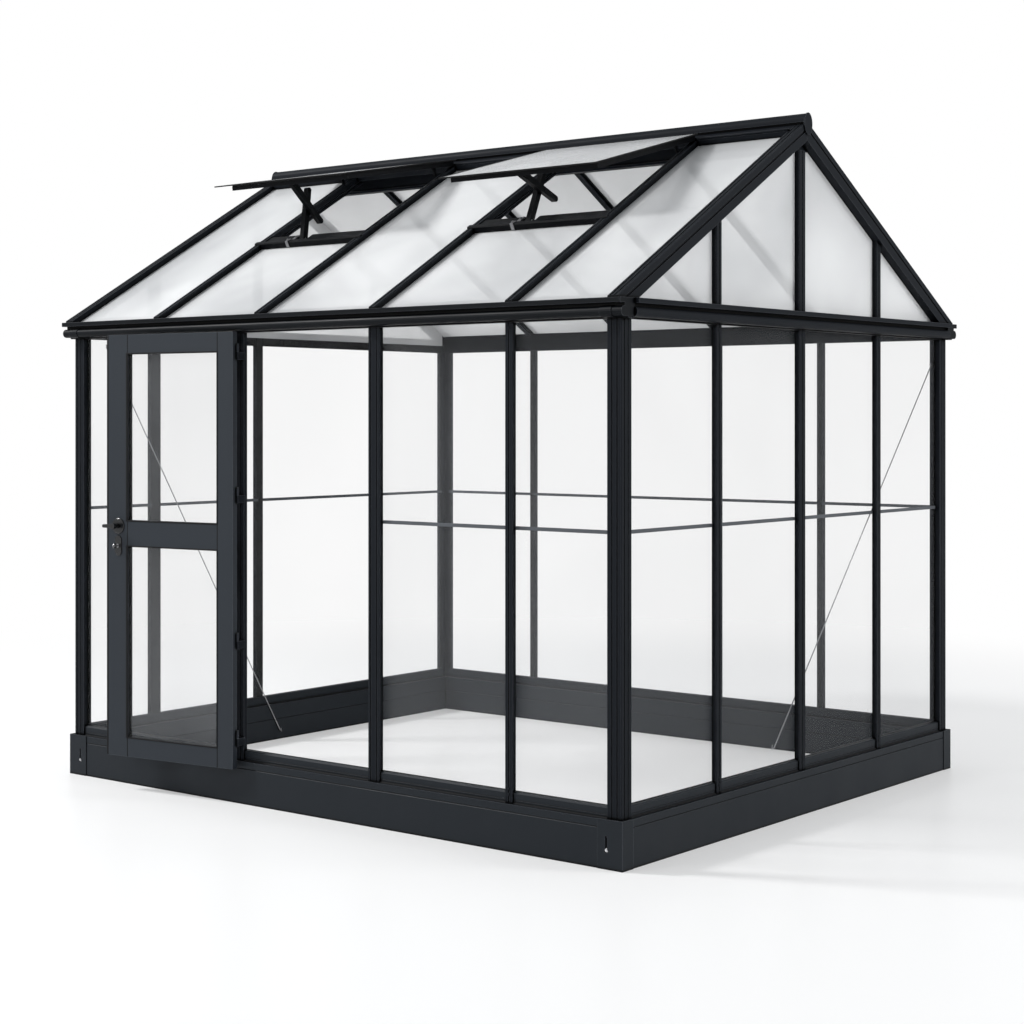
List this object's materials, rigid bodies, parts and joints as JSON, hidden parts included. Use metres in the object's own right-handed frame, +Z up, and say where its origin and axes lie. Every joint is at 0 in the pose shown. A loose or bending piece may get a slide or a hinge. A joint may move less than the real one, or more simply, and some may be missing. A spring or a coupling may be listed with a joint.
{
  "type": "walk-in greenhouse",
  "caption": "Walk-in apex greenhouse: dark metal frame on a steel base, clear wall sheets, hazy roof with opening vents, hinged door swung open.",
  "frame": {"origin": "on the ground, in the middle of the whole footprint with the door swung open", "axes": "+Z up, X along the door wall, -Y out of the door wall"},
  "size_m": [3.012, 2.7052, 2.745],
  "materials": {
    "frame_black": "satin powder coat, near black",
    "base_steel": "satin powder coat, anthracite",
    "opener_black": "satin black",
    "bare_steel": "plain metal",
    "wall_sheet": "clear",
    "roof_sheet": "hazy, light-scattering"
  },
  "bodies": {
    "house": {"base_rail_back": "base_steel", "base_rail_front": "base_steel", "base_rail_left": "base_steel", "base_rail_right": "base_steel", "corner_post_back_left": "frame_black", "corner_post_back_right": "frame_black", "corner_post_front_left": "frame_black", "corner_post_front_right": "frame_black", "door_jamb_hinge": "frame_black", "door_jamb_lock": "frame_black", "eave_gutter_back": "frame_black", "eave_gutter_front": "frame_black", "gable_bar_left_1": "frame_black", "gable_bar_left_2": "frame_black", "gable_bar_left_3": "frame_black", "gable_bar_right_1": "frame_black", "gable_bar_right_2": "frame_black", "gable_bar_right_3": "frame_black", "gable_beam_left": "frame_black", "gable_beam_right": "frame_black", "glazing_back": "wall_sheet", "glazing_front_left": "wall_sheet", "glazing_front_right": "wall_sheet", "glazing_left_gable": "wall_sheet", "glazing_right_gable": "wall_sheet", "rafter_back_left": "frame_black", "rafter_back_right": "frame_black", "rafter_front_left": "frame_black", "rafter_front_right": "frame_black", "ridge_bar": "frame_black", "roof_bar_back_1": "frame_black", "roof_bar_back_2": "frame_black", "roof_bar_back_3": "frame_black", "roof_bar_back_4": "frame_black", "roof_bar_front_1": "frame_black", "roof_bar_front_2": "frame_black", "roof_bar_front_3": "frame_black", "roof_bar_front_4": "frame_black", "roof_glazing_back": "roof_sheet", "roof_glazing_front": "roof_sheet", "vent_sill_1": "frame_black", "vent_sill_2": "frame_black", "wall_bar_back_1": "frame_black", "wall_bar_back_2": "frame_black", "wall_bar_back_3": "frame_black", "wall_bar_back_4": "frame_black", "wall_bar_front": "frame_black"},
    "door": {"door_frame": "frame_black", "door_pane_lower": "wall_sheet", "door_pane_upper": "wall_sheet"},
    "door_handle": {"door_handle": "frame_black"},
    "lock_cylinder": {"door_lock_cylinder": "bare_steel"},
    "vent_1": {"vent_frame_1": "frame_black", "vent_pane_1": "roof_sheet"},
    "opener_lower_arm_1": {"opener_lower_arm_1": "opener_black"},
    "opener_upper_arm_1": {"opener_upper_arm_1": "opener_black"},
    "vent_2": {"vent_frame_2": "frame_black", "vent_pane_2": "roof_sheet"},
    "opener_lower_arm_2": {"opener_lower_arm_2": "opener_black"},
    "opener_upper_arm_2": {"opener_upper_arm_2": "opener_black"}
  },
  "joints": [
    {"name": "door_hinge", "type": "hinge", "parent": "house", "child": "door", "pos_m": [-0.396, -1.2095, 1], "axis": [0, 0, 1], "range_deg": [0, 172.9]},
    {"name": "handle_turn", "type": "hinge", "parent": "door", "child": "door_handle", "pos_m": [-1.00728, -1.28564, 1.1], "axis": [0.1236, -0.9923, 0], "range_deg": [0, 40], "stiffness_Nm_per_rad": 1.5, "springref_deg": -11.46},
    {"name": "lock_turn", "type": "hinge", "parent": "door", "child": "lock_cylinder", "pos_m": [-1.00728, -1.28564, 1.018], "axis": [0.1236, -0.9923, 0], "range_deg": [-90, 90]},
    {"name": "vent_1_hinge", "type": "hinge", "parent": "house", "child": "vent_1", "pos_m": [-0.585, -0.01062, 2.67629], "axis": [-1, 0, 0], "range_deg": [-20, 1]},
    {"name": "opener_lower_arm_1_pivot", "type": "hinge", "parent": "house", "child": "opener_lower_arm_1", "pos_m": [-0.651, -0.56624, 2.32284], "axis": [-1, 0, 0], "range_deg": [-3.34, 57.3]},
    {"name": "opener_upper_arm_1_pivot", "type": "hinge", "parent": "vent_1", "child": "opener_upper_arm_1", "pos_m": [-0.651, -0.65439, 2.55538], "axis": [-1, 0, 0], "range_deg": [-45.7, 2.76]},
    {"name": "vent_2_hinge", "type": "hinge", "parent": "house", "child": "vent_2", "pos_m": [0.6625, -0.01062, 2.67629], "axis": [-1, 0, 0], "range_deg": [-15.2, 5.8]},
    {"name": "opener_lower_arm_2_pivot", "type": "hinge", "parent": "house", "child": "opener_lower_arm_2", "pos_m": [0.5965, -0.56624, 2.32284], "axis": [-1, 0, 0], "range_deg": [-16.8, 43.21]},
    {"name": "opener_upper_arm_2_pivot", "type": "hinge", "parent": "vent_2", "child": "opener_upper_arm_2", "pos_m": [0.5965, -0.64201, 2.50194], "axis": [-1, 0, 0], "range_deg": [-32.72, 12.8]}
  ],
  "couplings": [
    {"joint": "opener_lower_arm_1_pivot", "follows": "vent_1_hinge", "ratio": -2.84},
    {"joint": "opener_upper_arm_1_pivot", "follows": "vent_1_hinge", "ratio": 2.26},
    {"joint": "opener_lower_arm_2_pivot", "follows": "vent_2_hinge", "ratio": -2.81},
    {"joint": "opener_upper_arm_2_pivot", "follows": "vent_2_hinge", "ratio": 2.12}
  ]
}
